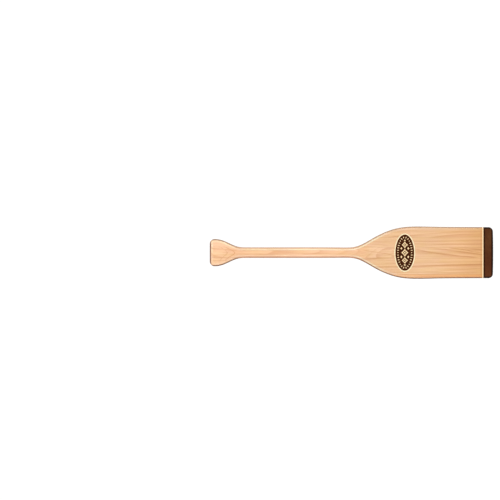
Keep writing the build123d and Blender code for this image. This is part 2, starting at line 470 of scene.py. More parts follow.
def sweep_strip(mesh, levels, inner_x, outer_x, face_steps, side_steps):
    """The long walls of a strip. Returns its rings and their normals."""
    sections = [strip_section(z, inner_x, outer_x, face_steps, side_steps) for z in levels]
    rings = [mesh.add(section[0]) for section in sections]
    kinds = strip_kinds(face_steps, side_steps)
    for k in range(len(rings) - 1):
        low, high = rings[k], rings[k + 1]
        _, low_normals, low_flat = sections[k]
        _, high_normals, high_flat = sections[k + 1]
        for i, j in neighbours(len(low)):
            if kinds[i] == "inner":
                normals = [(-1, 0, 0)] * 4
            elif kinds[i] == "side" and low_flat and high_flat:
                normals = [(1, 0, 0)] * 4
            else:
                normals = [low_normals[j], low_normals[i], high_normals[i], high_normals[j]]
            mesh.face((low[j], low[i], high[i], high[j]), normals)
    return rings, [section[1] for section in sections]


def blade_strip(inner_x, outer_x, tongue_x, face_steps):
    """A strip from the tip guard to its runout, with its part of the tongue below."""
    side_steps = 5
    mesh = Mesh()
    end = strip_end(inner_x)
    levels = [z for z in heights(GUARD_TOP, end) if z < end - 0.2] + [end - 0.15]
    rings, normals = sweep_strip(mesh, levels, inner_x, outer_x, face_steps, side_steps)
    tongue = [(x, TONGUE_DEPTH) for x in np.linspace(inner_x, tongue_x, face_steps + 1)]
    tongue += [(tongue_x, y) for y in np.linspace(TONGUE_DEPTH, 0, side_steps + 1)[1:]]
    upper, lower = (mesh.add(close_ring(tongue, inner_x, z)) for z in (GUARD_TOP, TONGUE_BOTTOM))
    mesh.join((upper, rings[0]), (lower, upper), backward=True)
    mesh.face(lower)
    # the upper end closes to a point on the glue line
    top, top_normals = rings[-1], normals[-1]
    tip = mesh.add([(inner_x, 0.0, end)])[0]
    kinds = strip_kinds(face_steps, side_steps)
    for i, j in neighbours(len(top)):
        if kinds[i] == "inner":
            tip_normals = [(-1, 0, 0)] * 3
        else:
            tip_normals = [top_normals[j], top_normals[i], top_normals[i]]
        mesh.face((top[j], top[i], tip), tip_normals)
    return mesh


def grip_cheek():
    """The piece beside the core at the grip. Its lower end feathers out."""
    mesh = Mesh()
    start = CHEEK_START + 0.5
    beyond_edge = 90.0
    rings, _ = sweep_strip(mesh, heights(start, LENGTH), CORE_X, beyond_edge,
                           face_steps=8, side_steps=6)
    bottom = rings[0]
    tip = mesh.add([(CORE_X, 0.0, start - 0.4)])[0]
    for i, j in neighbours(len(bottom)):
        mesh.face((bottom[j], bottom[i], tip), [(1, 0, 0)] * 3)
    mesh.face(rings[-1][::-1])
    return mesh


# ----------------------------------------------------------------------------
# The core and the outer plies
# ----------------------------------------------------------------------------
CORE_FACE_STEPS, CORE_SIDE_STEPS = 12, 4
# below and above these heights the core always reaches its side glue lines
CORE_FULL_BELOW, CORE_FULL_ABOVE = 300.0, 752.0


def turned(normal, sign_x, sign_y):
    return np.array([normal[0] * sign_x, normal[1] * sign_y, normal[2]])


def core_section(z):
    """The core's ring, with one list of normals for its faces and one for its sides."""
    width = half_width(z)
    # the corner is on the side glue line or, on the shaft, where the surface meets the outer ply
    side_x = min(CORE_X, width)
    side_y = surface_y(z, side_x)
    if (z < CORE_FULL_BELOW or z > CORE_FULL_ABOVE
            or (width > CORE_X and side_y >= PLY_Y)):
        corner_turn = float(turn_at_x(z, side_x))
        corner_x, corner_y = CORE_X, min(side_y, PLY_Y)
    else:
        corner_turn = float(turn_at_y(z, PLY_Y))
        corner_x, corner_y = float(surface(z, corner_turn)[0][0, 0]), PLY_Y
    across = np.linspace(-corner_x, corner_x, CORE_FACE_STEPS + 1)
    points, normals = surface(z, turn_at_x(z, np.abs(across)))
    normals[:, 0] *= np.where(across < 0, -1, 1)
    normals[points[:, 1] > PLY_Y + 1e-4] = (0, 1, 0)      # glued under an outer ply
    top = np.stack([across, np.minimum(points[:, 1], PLY_Y)], 1)
    top[0, 1] = top[-1, 1] = corner_y
    flat = width > CORE_X and corner_x >= CORE_X - 1e-6
    side, side_normals = outer_side(z, corner_turn, CORE_X, corner_y, flat, CORE_SIDE_STEPS)
    corner_normal = np.array([1.0, 0, 0]) if flat else surface(z, corner_turn)[1][0]

    # top from left to right, right side down, bottom from right to left, left side up
    back = side[:-1][::-1]
    ring = [(x, y, z) for x, y in top] + [(x, y, z) for x, y in side]
    ring += [(x, -y, z) for x, y in back] + [(x, -y, z) for x, y in top[::-1]]
    ring += [(-x, -y, z) for x, y in side] + [(-x, y, z) for x, y in back]
    down, up = list(side_normals), list(side_normals[:-1][::-1])
    faces = list(normals) + down + [turned(normal, 1, -1) for normal in up]
    faces += [turned(normal, 1, -1) for normal in reversed(normals)]
    faces += [turned(normal, -1, -1) for normal in down] + [turned(normal, -1, 1) for normal in up]
    sides = list(faces)
    sides[0] = turned(corner_normal, -1, 1)
    sides[CORE_FACE_STEPS] = corner_normal
    sides[CORE_FACE_STEPS + 2 * CORE_SIDE_STEPS] = turned(corner_normal, 1, -1)
    sides[2 * CORE_FACE_STEPS + 2 * CORE_SIDE_STEPS] = turned(corner_normal, -1, -1)
    return ring, faces, sides


def core_tongue(z):
    across = np.linspace(-CORE_X, CORE_X, CORE_FACE_STEPS + 1)
    side = np.linspace(TONGUE_DEPTH, -TONGUE_DEPTH, 2 * CORE_SIDE_STEPS + 1)[1:-1]
    return (
        [(x, TONGUE_DEPTH, z) for x in across] + [(CORE_X, y, z) for y in side]
        + [(x, -TONGUE_DEPTH, z) for x in across[::-1]] + [(-CORE_X, -y, z) for y in side]
    )


def core_ply():
    """The full-length middle piece, from the tongue to the end of the grip."""
    mesh = Mesh()
    sections = [core_section(z) for z in heights(GUARD_TOP, LENGTH)]
    rings = [mesh.add(section[0]) for section in sections]
    bottom_start = CORE_FACE_STEPS + 2 * CORE_SIDE_STEPS
    for k in range(len(rings) - 1):
        low, high = rings[k], rings[k + 1]
        for i, j in neighbours(len(low)):
            is_face = i < CORE_FACE_STEPS or 0 <= i - bottom_start < CORE_FACE_STEPS
            kind = 1 if is_face else 2
            below, above = sections[k][kind], sections[k + 1][kind]
            mesh.face((high[i], high[j], low[j], low[i]), [above[i], above[j], below[j], below[i]])
    upper, lower = (mesh.add(core_tongue(z)) for z in (GUARD_TOP, TONGUE_BOTTOM))
    mesh.join((rings[0], upper), (upper, lower))
    mesh.face(lower)
    mesh.face(rings[-1][::-1])
    return mesh


PLY_HALF_STEPS = 8
PLY_SPREAD = np.linspace(-1, 1, 2 * PLY_HALF_STEPS + 1)     # from the left side to the right


def ply_row(z):
    """Points and normals across the outer ply at one height."""
    section = quarter(z)
    limit = min(CORE_X, float(section[:, 0][np.searchsorted(section[:, 1], PLY_Y)]))
    across = np.abs(PLY_SPREAD * limit)
    if limit >= CORE_X - 1e-6:
        points, normals = surface(z, turn_at_x(z, across))
        points[:, 0] = across
    else:
        # even steps along the curve, so the shoulder is as fine as the crown
        fine_turns = np.linspace(float(turn_at_y(z, PLY_Y)), 2.0, 60)
        run = run_lengths(surface(z, fine_turns)[0])
        turns = np.interp(np.linspace(0, run[-1], PLY_HALF_STEPS + 1), run, fine_turns)
        points, normals = surface(z, np.concatenate([turns, turns[:-1][::-1]]))
    sign = np.where(PLY_SPREAD < 0, -1.0, 1.0)
    points[:, 0] *= sign
    normals[:, 0] *= sign
    points[PLY_HALF_STEPS, 0] = normals[PLY_HALF_STEPS, 0] = 0.0
    return points, normals


def surface_normal(x, z):
    return turned(surface(z, turn_at_x(z, abs(x)))[1][0], 1 if x >= 0 else -1, 1)


def outer_ply():
    """The back ply: it lies on the core's glue plane and feathers out on blade and grip."""
    mesh = Mesh()
    first, last = (
        [(spread * CORE_X, PLY_Y, end(spread * CORE_X)) for spread in PLY_SPREAD]
        for end in (ply_start, ply_end)
    )
    low, high = max(point[2] for point in first), min(point[2] for point in last)
    levels = [z for z in heights(GUARD_TOP, LENGTH) if low + 0.8 < z < high - 0.12]
    rows = [ply_row(z) for z in levels]
    top = [mesh.add([(x, y, z) for x, y in row[0]]) for z, row in zip(levels, rows)]
    base = [mesh.add([(x, PLY_Y, z) for x, _ in row[0]]) for z, row in zip(levels, rows)]
    start, end = mesh.add(first), mesh.add(last)
    top = [start] + top + [end]
    base = [start] + base + [end]
    normals = [list(row[1]) for row in rows]
    normals.insert(0, [surface_normal(x, z) for x, _, z in first])
    normals.append([surface_normal(x, z) for x, _, z in last])
    right = len(PLY_SPREAD) - 1
    for k in range(len(top) - 1):
        below, above = normals[k], normals[k + 1]
        for i in range(right):
            mesh.face((top[k][i], top[k + 1][i], top[k + 1][i + 1], top[k][i + 1]),
                      [below[i], above[i], above[i + 1], below[i + 1]])
            mesh.face((base[k][i + 1], base[k + 1][i + 1], base[k + 1][i], base[k][i]),
                      [(0.0, -1.0, 0.0)] * 4)
        for i, sign in ((0, -1), (right, 1)):
            quad = (base[k][i], base[k + 1][i], top[k + 1][i], top[k][i])
            mesh.face(quad[::-sign], [(sign, 0, 0)] * 4)
    return mesh


# ----------------------------------------------------------------------------
# The tip guard: a cast cap with round edges, bowed at the tip, grooved for the tongue
# ----------------------------------------------------------------------------
GUARD_WIDTH = OUTLINE[0][1]
GUARD_BOW = 0.8                 # rise of the bottom edge from the middle to the corners
GUARD_CORNER = 12.0
GUARD_EDGE = 4.58               # radius of the rounded edge
GUARD_ROWS = 5


def guard_plan():
    """Points (x, z) and outward normals from the right-hand top, round the tip, to the left."""
    corner_z = GUARD_BOW + GUARD_CORNER
    corner_x = GUARD_WIDTH - GUARD_CORNER
    right = [((GUARD_WIDTH, z), (1.0, 0.0))
             for z in np.linspace(GUARD_TOP, corner_z, GUARD_ROWS + 1)]
    for angle in np.radians(np.linspace(0, 90, 9)[1:]):
        out_x, out_z = math.cos(angle), -math.sin(angle)
        right.append(((corner_x + GUARD_CORNER * out_x, corner_z + GUARD_CORNER * out_z),
                      (out_x, out_z)))
    tip = []
    for x in np.linspace(corner_x, -corner_x, 35)[1:-1]:
        slope = 2 * GUARD_BOW * x / corner_x**2
        size = math.hypot(1, slope)
        tip.append(((x, GUARD_BOW * (x / corner_x) ** 2), (slope / size, -1 / size)))
    left = [((-x, z), (-out_x, out_z)) for (x, z), (out_x, out_z) in reversed(right)]
    plan = np.array(right + tip + left)
    return plan[:, 0], plan[:, 1]


def guard_groove(mesh, loop):
    """The face under the wood, and the groove in it."""
    groove = []
    for x, y, _ in (mesh.points[i] for i in loop):
        if abs(abs(y) - BLADE_DEPTH) < 1e-6:
            groove.append((x / (GUARD_WIDTH - GUARD_EDGE) * TONGUE_WIDTH,
                           math.copysign(TONGUE_DEPTH, y)))
        else:
            groove.append((math.copysign(TONGUE_WIDTH, x), y / BLADE_DEPTH * TONGUE_DEPTH))
    mouth, floor_ring = (mesh.add([(x, y, z) for x, y in groove])
                         for z in (GUARD_TOP, TONGUE_BOTTOM))
    for i, j in neighbours(len(loop)):
        mesh.face((loop[i], loop[j], mouth[j], mouth[i]), [(0, 0, 1)] * 4)
        mesh.face((mouth[i], mouth[j], floor_ring[j], floor_ring[i]))
    mesh.face(floor_ring, [(0, 0, 1)] * len(loop))


def tip_guard():
    mesh = Mesh()
    plan, outward = guard_plan()
    count = len(plan)
    straight = BLADE_DEPTH - GUARD_EDGE
    rims, rim_normals = [], []
    for angle in np.radians(np.linspace(0, 90, 8)):
        rims.append((plan - outward * (GUARD_EDGE * (1 - math.cos(angle))),
                     straight + GUARD_EDGE * math.sin(angle)))
        rim_normals.append(np.stack([outward[:, 0] * math.cos(angle),
                                     np.full(count, math.sin(angle)),
                                     outward[:, 1] * math.cos(angle)], 1))
    rings, tops = {}, {}
    for sign in (1, -1):
        side = [mesh.add([(x, sign * y, z) for x, z in rim]) for rim, y in rims]
        for k in range(len(rims) - 1):
            low, high = rim_normals[k], rim_normals[k + 1]
            for i in range(count - 1):
                quad = (side[k][i], side[k][i + 1], side[k + 1][i + 1], side[k + 1][i])
                normals = [turned(normal, 1, sign)
                           for normal in (low[i], low[i + 1], high[i + 1], high[i])]
                mesh.face(quad[::sign], normals[::sign])
        # the flat face, in columns from the tip's edge up to the glue line
        border = side[-1]
        columns = [border[0:GUARD_ROWS + 1][::-1]]
        for i in range(GUARD_ROWS + 1, count - GUARD_ROWS - 1):
            x, z = rims[-1][0][i]
            levels = np.linspace(z, GUARD_TOP, GUARD_ROWS + 1)[1:]
            columns.append([border[i]] + mesh.add([(x, sign * BLADE_DEPTH, h) for h in levels]))
        columns.append(border[count - GUARD_ROWS - 1:])
        for here, beside in zip(columns, columns[1:]):
            for i in range(GUARD_ROWS):
                quad = (here[i], beside[i], beside[i + 1], here[i + 1])
                mesh.face(quad[::sign], [(0, sign, 0)] * 4)
        rings[sign], tops[sign] = side, [column[-1] for column in columns]
    # a narrow straight band joins the two halves of the rim
    back, front = rings[1], rings[-1]
    for i in range(count - 1):
        here, beside = ((out_x, 0, out_z) for out_x, out_z in outward[i:i + 2])
        mesh.face((back[0][i + 1], back[0][i], front[0][i], front[0][i + 1]),
                  [beside, here, here, beside])
    loop = tops[1] + [ring[-1] for ring in back[::-1]][1:] + [ring[-1] for ring in front]
    loop += tops[-1][::-1][1:] + [ring[0] for ring in front[::-1]][1:]
    loop += [ring[0] for ring in back][:-1]
    guard_groove(mesh, loop)
    return mesh


# ----------------------------------------------------------------------------
# The badge: a thin dark film on the front with raised ink, in rings, beads and lozenges
# ----------------------------------------------------------------------------
BADGE_HEIGHT = 238.0            # height of its centre
BADGE_X, BADGE_Z = 51.5, 28.1   # half axes
FILM_Y = -(BLADE_DEPTH + 0.11)
INK_BACK = FILM_Y + 0.03
INK_FRONT = -(BLADE_DEPTH + 0.15)
DARK, CREAM, GOLD, TAN = range(4)       # material slots


def ellipse(half_x, half_z, count=144, x=0.0, z=0.0, tilt=0.0):
    angles = np.linspace(0, 2 * math.pi, count, endpoint=False)
    cos, sin = math.cos(tilt), math.sin(tilt)
    return [(x + cos * along - sin * across, z + sin * along + cos * across)
            for along, across in zip(half_x * np.cos(angles), half_z * np.sin(angles))]


def lozenge(half_x, half_z, x=0.0, z=0.0, bow=0.12, steps=6):
    """A diamond whose sides bow in a little."""
    corners = [(half_x, 0), (0, half_z), (-half_x, 0), (0, -half_z)]
    outline = []
    for i, j in neighbours(4):
        start, end = np.array(corners[i]), np.array(corners[j])
        pull = 2 * ((start + end) / 2 * (1 - bow)) - (start + end) / 2
        for part in np.linspace(0, 1, steps, endpoint=False):
            point = (1 - part) ** 2 * start + 2 * part * (1 - part) * pull + part**2 * end
            outline.append((x + float(point[0]), z + float(point[1])))
    return outline


def badge_ring(mesh, outline, y):
    return mesh.add([(x, y, BADGE_HEIGHT + z) for x, z in outline])


def plate(mesh, outline, slot, back_y=INK_BACK, front_y=INK_FRONT, bevel=0.0):
    """A thin plate facing -Y."""
    count = len(outline)
    area = sum(outline[i][0] * outline[j][1] - outline[j][0] * outline[i][1]
               for i, j in neighbours(count))
    if area < 0:
        outline = outline[::-1]
    back = badge_ring(mesh, outline, back_y)
    rim = front = badge_ring(mesh, outline, front_y + bevel)
    if bevel:
        centre_x = sum(x for x, _ in outline) / count
        centre_z = sum(z for _, z in outline) / count
        shrunk = []
        for x, z in outline:
            distance = math.hypot(x - centre_x, z - centre_z)
            shrunk.append((x - (x - centre_x) / distance * bevel,
                           z - (z - centre_z) / distance * bevel))
        front = badge_ring(mesh, shrunk, front_y)
        mesh.join((rim, front), slot=slot)
    mesh.face(front, slot=slot)
    mesh.face(back[::-1], slot=slot)
    mesh.join((back, rim), slot=slot)


def band(mesh, outer, inner, slot, front_y=INK_FRONT):
    """A flat ring between two outlines of the same number of points."""
    outer_back, outer_front = (badge_ring(mesh, outer, y) for y in (INK_BACK, front_y))
    inner_back, inner_front = (badge_ring(mesh, inner, y) for y in (INK_BACK, front_y))
    for i, j in neighbours(len(outer)):
        for first, second, here, after in (
            (outer_front, inner_front, i, j), (outer_back, inner_back, j, i),
            (outer_back, outer_front, i, j), (inner_back, inner_front, j, i),
        ):
            mesh.face((first[here], first[after], second[after], second[here]), slot=slot)


def bead_ring(mesh):
    """Leaning bars all round the oval, with a round bead in place of every fifth."""
    half_x, half_z, count = BADGE_X - 10.5, BADGE_Z - 9.5, 30
    angles = np.linspace(0, 2 * math.pi, 3000)
    run = run_lengths(np.stack([half_x * np.cos(angles), half_z * np.sin(angles)], 1))
    for i in range(count):
        angle = float(np.interp((i + 0.5) / count * run[-1], run, angles))
        x, z = half_x * math.cos(angle), half_z * math.sin(angle)
        tilt = math.atan2(z / half_z**2, x / half_x**2)
        if i % 5 == 2:
            bead = ellipse(1.3, 1.3, 16, x, z, tilt)
        else:
            bead = ellipse(2.4, 1.08, 20, x, z, tilt)
        plate(mesh, bead, GOLD)


def badge():
    mesh = Mesh()

    def oval(inset):
        return ellipse(BADGE_X - inset, BADGE_Z - inset)

    plate(mesh, oval(0.0), DARK, back_y=-BLADE_DEPTH, front_y=FILM_Y, bevel=0.05)
    band(mesh, oval(0.15), oval(2.5), CREAM)
    band(mesh, oval(2.45), oval(3.2), TAN, front_y=INK_FRONT + 0.01)
    bead_ring(mesh)
    # three open lozenges along the middle with solid hearts, and small ones between them
    for x, half_x, half_z in ((0.0, 10.8, 9.4), (-20.9, 9.0, 8.4), (20.9, 9.0, 8.4)):
        band(mesh, lozenge(half_x, half_z, x), lozenge(half_x * 0.60, half_z * 0.60, x), GOLD)
        plate(mesh, lozenge(half_x * 0.24, half_z * 0.24, x, bow=0.0, steps=4), GOLD)
    for side in (1, -1):
        plate(mesh, lozenge(2.4, 3.0, side * 32.9, bow=0.05, steps=4), GOLD)
        for up in (1, -1):
            plate(mesh, lozenge(3.6, 2.8, side * 11.4, up * 9.2, bow=0.05, steps=4), GOLD)
    return mesh


# ----------------------------------------------------------------------------
# Shader building
# ----------------------------------------------------------------------------
class Value:
    """A shader value. Arithmetic on it adds the nodes that work it out.
    For masks, & keeps the lesser of two and | the greater."""

    def __init__(self, graph, socket):
        self.graph, self.socket = graph, socket

    def math(self, operation, *others):
        return self.graph.math(operation, self, *others)

    def __add__(self, other):
        return self.math("ADD", other)

    def __sub__(self, other):
        return self.math("SUBTRACT", other)

    def __rsub__(self, other):
        return self.graph.math("SUBTRACT", other, self)

    def __mul__(self, other):
        return self.math("MULTIPLY", other)

    def __truediv__(self, other):
        return self.math("DIVIDE", other)

    def __and__(self, other):
        return self.math("MINIMUM", other)

    def __or__(self, other):
        return self.math("MAXIMUM", other)

    def __abs__(self):
        return self.math("ABSOLUTE")

    def times_plus(self, factor, extra):
        return self.math("MULTIPLY_ADD", factor, extra)

    def ramp(self, start, end, to=(0.0, 1.0), kind="SMOOTHSTEP"):
        """Eased change between the outputs in `to` as this value goes from start to end."""
        inputs = {"Value": self, "From Min": start, "From Max": end,
                  "To Min": to[0], "To Max": to[1]}
        return self.graph.add("ShaderNodeMapRange", inputs, interpolation_type=kind, clamp=True)

    def line(self, start, end, to=(0.0, 1.0)):
        """As ramp, but straight."""
        return self.ramp(start, end, to, kind="LINEAR")

    def fall(self, start, end):
        return self.ramp(start, end, to=(1.0, 0.0))


class Graph:
    """A node tree, with short ways to add to it."""

    def __init__(self, tree):
        self.tree = tree

    def fill(self, node, inputs):
        for key, value in inputs.items():
            if isinstance(value, Value):
                self.tree.links.new(value.socket, node.inputs[key])
            else:
                node.inputs[key].default_value = value

    def add(self, kind, inputs=None, output=0, **settings):
        node = self.tree.nodes.new(kind)
        for name, value in settings.items():
            setattr(node, name, value)
        self.fill(node, inputs or {})
        return Value(self, node.outputs[output])

    def finish(self, kind, surface_shader):
        self.fill(self.tree.nodes.new(kind), {"Surface": surface_shader})

    def math(self, operation, *values, clamp=False):
        return self.add("ShaderNodeMath", dict(enumerate(values)), operation=operation,
                        use_clamp=clamp)

    def vector(self, operation, first, second, output=0):
        return self.add("ShaderNodeVectorMath", {0: first, 1: second}, output,
                        operation=operation)

    def position(self):
        """The point in the object's frame, in mm."""
        point = self.add("ShaderNodeTexCoord", output="Object")
        return self.vector("MULTIPLY", point, (1 / MM,) * 3)

    def split(self, vector):
        node = self.tree.nodes.new("ShaderNodeSeparateXYZ")
        self.fill(node, {0: vector})
        return [Value(self, socket) for socket in node.outputs]

    def normal(self):
        return self.split(self.add("ShaderNodeNewGeometry", output="Normal"))

    def combine(self, x, y, z):
        return self.add("ShaderNodeCombineXYZ", {0: x, 1: y, 2: z})

    def noise(self, vector, cell, detail=2.0, rough=0.5, distortion=0.0, output="Fac"):
        """Noise whose cells are this size in mm along X, Y and Z."""
        scaled = self.vector("MULTIPLY", vector, tuple(1 / size for size in cell))
        inputs = {"Vector": scaled, "Scale": 1.0, "Detail": detail, "Roughness": rough,
                  "Distortion": distortion}
        return self.add("ShaderNodeTexNoise", inputs, output, noise_dimensions="3D")

    def noise_1d(self, value, detail):
        inputs = {"W": value, "Scale": 1.0, "Detail": detail, "Roughness": 0.5,
                  "Distortion": 0.0}
        return self.add("ShaderNodeTexNoise", inputs, "Fac", noise_dimensions="1D")

    def mix(self, factor, first, second, blend="MIX"):
        colours = [(*value, 1.0) if isinstance(value, tuple) else value
                   for value in (first, second)]
        return self.add("ShaderNodeMix", {0: factor, 6: colours[0], 7: colours[1]}, 2,
                        data_type="RGBA", blend_type=blend)

    def tint(self, colour, factors):
        """Multiply a colour."""
        return self.mix(1.0, colour, factors, "MULTIPLY")

    def curve(self, value, points, low, high):
        """A smooth curve through (input, output) points whose outputs lie from low to high."""
        start, end = points[0][0], points[-1][0]
        node = self.tree.nodes.new("ShaderNodeFloatCurve")
        mapping = node.mapping
        mapping.use_clip = False
        mapping.extend = "HORIZONTAL"
        line = mapping.curves[0].points
        for i, (along, across) in enumerate(points):
            location = ((along - start) / (end - start), (across - low) / (high - low))
            if i < 2:
                line[i].location = location
            else:
                line.new(*location)
        for point in line:
            point.handle_type = "AUTO_CLAMPED"
        mapping.update()
        self.fill(node, {"Value": value.line(start, end)})
        return Value(self, node.outputs[0]).times_plus(high - low, low)

    def grazing(self, start, end):
        """0 where the surface faces the eye and 1 where it turns away."""
        return self.add("ShaderNodeLayerWeight", {"Blend": 0.5}, "Facing").ramp(start, end)

    def bump(self, height, strength, distance):
        return self.add("ShaderNodeBump", {"Strength": strength, "Distance": distance,
                                           "Height": height})

    def varnish_ripple(self, position):
        peel = self.noise(position, cell=(2.2, 2.2, 4.5), detail=1)
        return self.bump(peel, strength=0.25, distance=0.00006)


def new_material(name):
    """A material, its graph and its main shader node."""
    material = bpy.data.materials.new(name)
    material.use_nodes = True
    tree = material.node_tree
    shader = next(node for node in tree.nodes if node.type == "BSDF_PRINCIPLED")
    return material, Graph(tree), shader


# ----------------------------------------------------------------------------
# Wood
# ----------------------------------------------------------------------------
WHITE = (1.0, 1.0, 1.0)
BLADE_LIGHT, BLADE_DARK = (0.835, 0.500, 0.262), (0.56, 0.235, 0.085)
SHAFT_LIGHT, SHAFT_DARK = (0.92, 0.560, 0.318), (0.68, 0.305, 0.130)
GRIP_LIGHT, GRIP_DARK = (0.94, 0.590, 0.350), (0.68, 0.310, 0.150)
# painted shade for the rounded edges: lighter and greyer on the right, darker and redder on the left
EDGE_SHADE_RIGHT, EDGE_SHADE_LEFT = (0.58, 0.54, 0.50), (0.50, 0.38, 0.30)      # tints of the rounded edges

# the outline as the shader knows it: height, half width
SHADER_OUTLINE = [(z, half_width(z)) for z in (
    GUARD_TOP, 60, 120, 160, 194, 221, 244, 264, 284, 304, 324, 343, 356, 370, 385, 410, 470,
    600, 664, 678, 687, 699, 711, 723, 735, 745, GRIP_ROUND_START,
)]

# Single growth lines: the axis they run along, (along, across) points, width of the soft side,
# width of the sharp side (negative turns the line over), strength.
BLADE_LINES = (
    ("z", [(34, -13.3), (77, -9.8), (120, -6.0), (165, 0.5), (212, 7.0)], 2.6, 0.7, 1.0),
    ("z", [(30, 0.1), (55, 3.6), (80, 8.5), (124, 13.9)], 2.4, 0.7, 0.9),
    ("z", [(262, -8.0), (272, -6.5)], 2.0, 0.6, 0.3),
)
THROAT_LINES = (
    ("z", [(262, -6.5), (290, -2.0), (320, 3.5), (360, 10.5)], 2.6, 0.8, 1.0),
    ("z", [(655, -4.6), (672, 1.5), (688, 7.0)], 2.2, 0.8, 0.75),
    ("z", [(530, 5.0), (560, 3.2), (606, -1.4)], 2.2, 0.8, 0.7),
    ("z", [(440, -5.5), (478, -2.0), (520, 1.0)], 2.2, 0.8, 0.5),
    ("z", [(578, -3.4), (630, -1.6), (694, -1.2)], 5.5, 3.2, 0.62),
)
# vees that open up where the grip is cut down to a thin palm
VEES = (
    ("x", [(-24, 725), (-13, 712), (-5, 700), (-1, 696.5), (3, 699), (12, 715), (20, 732)],
     5.0, -1.2, 1.3),
    ("x", [(-28, 741), (-14, 729), (-4, 719), (0, 716), (4, 719), (13, 731), (22, 745)],
     4.0, -1.2, 0.8),
)


def late_wood(graph, point, shifted, pith, lean, spacing, seed, warp):
    """Dark late wood of growth rings: shells round a leaning pith line."""
    x, y, z = point
    # slow wander of the grain
    slow = graph.noise(shifted, cell=(55, 55, 190), rough=0.45, output="Color")
    wander_x, wander_y, _ = graph.split(slow)
    across = (x + (wander_x - 0.5) * (2 * warp)) - z.times_plus(lean[0], pith[0])
    through = (y + (wander_y - 0.5) * (2 * warp)) - z.times_plus(lean[1], pith[1])
    radius = (across * across + through * through).math("SQRT")
    # rings of uneven width
    rings = radius / spacing
    uneven = graph.noise_1d(rings.times_plus(0.61, seed * 3.7), detail=1)
    rings = (uneven - 0.5).times_plus(1.1, rings)
    # each shades slowly from early to late wood, then starts afresh
    part = rings.math("FRACT")
    late = part.math("POWER", 3.0) * part.fall(0.93, 1.0)
    # some rings are stronger, and all fade in places
    strength = graph.noise_1d(rings.math("FLOOR").times_plus(0.73, seed * 5.1), detail=0)
    late = late * strength.ramp(0.3, 0.7, to=(0.45, 1.1))
    fade = graph.noise(shifted, cell=(18, 18, 120))
    return late * fade.ramp(0.3, 0.65, to=(0.50, 1.1))


def growth_line(graph, along, across, points, soft, sharp, amount):
    """One growth line: soft on the side of the early wood and sharp on the other."""
    offsets = [offset for _, offset in points]
    centre = graph.curve(along, points, low=min(offsets) - 1, high=max(offsets) + 1)
    distance = across - centre
    if sharp < 0:
        distance, sharp = distance * -1.0, -sharp
    mask = distance.ramp(-soft, 0.0) & distance.fall(0.0, sharp)
    part = along.line(points[0][0], points[-1][0])
    return mask * (part.ramp(0.0, 0.14) & part.fall(0.82, 1.0)) * amount


def add_growth_lines(graph, late, point, shifted, lines):
    """Lines that run right across a board and shift a little from face to face."""
    x, y, z = point
    waver = graph.noise(shifted, cell=(6, 6, 30))
    shift = y.times_plus(0.30, 1.4)
    for axis, points, soft, sharp, amount in lines:
        offset = (waver - 0.5).times_plus(2.4 if axis == "z" else 3.6, shift)
        along, across = (z, x - offset) if axis == "z" else (x, z - offset)
        late = late | growth_line(graph, along, across, points, soft, sharp, amount)
    return late


def vary_tone(graph, colour, shifted, fibre, pore):
    """Streaks, fibres, blotches and pores, with a slow change of hue."""
    streak = graph.noise(shifted, cell=(3.6, 3.6, 170), detail=3, rough=0.6)
    blotch = graph.noise(shifted, cell=(34, 34, 120))
    tone = streak.line(0.3, 0.7, to=(-0.13, 0.13)) + fibre.line(0.25, 0.75, to=(-0.06, 0.06))
    tone = tone + blotch.line(0.3, 0.7, to=(-0.05, 0.05))
    tone = tone - pore * 0.10
    # darker tones are redder, and patches lean to pink or to yellow
    hue = graph.noise(shifted, cell=(16, 16, 45), rough=0.55).line(0.3, 0.7, to=(-1.0, 1.0))
    return graph.tint(colour, graph.combine(
        tone.times_plus(0.7, 1.0),
        hue.times_plus(0.018, tone.times_plus(1.0, 1.0)),
        hue.times_plus(-0.05, tone.times_plus(1.5, 1.0)),
    ))


def vary_along_blade(graph, colour, z):
    """A little deeper in colour towards the tip and paler from there to the throat."""
    run = graph.mix(z.ramp(40.0, 110.0), (0.925, 0.885, 0.80), WHITE)
    pale = z.ramp(75.0, 185.0) & z.fall(326.0, 352.0)
    run = graph.tint(run, graph.mix(pale, WHITE, (1.0, 1.057, 1.16)))
    return graph.tint(colour, run)


def rub_edges(graph, colour, z, normal_y, inside, shaft, right):
    """Painted highlight: just inside the rounded edges a pale band is painted into the wood's colour.
    """
    # where the painted highlight falls: a band in from the outline, on faces that look along Y
    highlight_band = inside.ramp(3.4, 5.0) & inside.fall(6.8, 8.8)
    highlight_band = highlight_band * abs(normal_y).ramp(0.4, 0.8)
    paler = graph.mix(right, (1.03, 1.16, 1.38), (1.05, 1.18, 1.40))
    # where, tint on the left, tint on the right: lower blade, shaft, throat, grip
    for where, left_tint, right_tint in (
        (z.fall(190.0, 225.0), WHITE, (0.94, 1.03, 1.14)),
        (shaft, (1.07, 1.17, 1.29), (1.07, 1.36, 1.55)),
        (z.ramp(285.0, 310.0) & z.fall(358.0, 384.0), (1.05, 1.38, 1.68), (1.06, 1.46, 1.78)),
        (z.ramp(678.0, 700.0), (1.04, 1.07, 1.12), (1.05, 1.24, 1.30)),
    ):
        paler = graph.mix(where, paler, graph.mix(right, left_tint, right_tint))
    colour = graph.tint(colour, graph.mix(highlight_band, WHITE, paler))
    # along the shaft's right side the painted highlight band ends in a thin painted darker line
    line = abs(inside - 8.7).ramp(0.4, 1.5, to=(0.75, 0.0))
    line = line * ((shaft * right) * abs(normal_y).ramp(0.5, 0.9))
    return graph.mix(line, colour, graph.tint(colour, (0.88, 0.82, 0.80)))


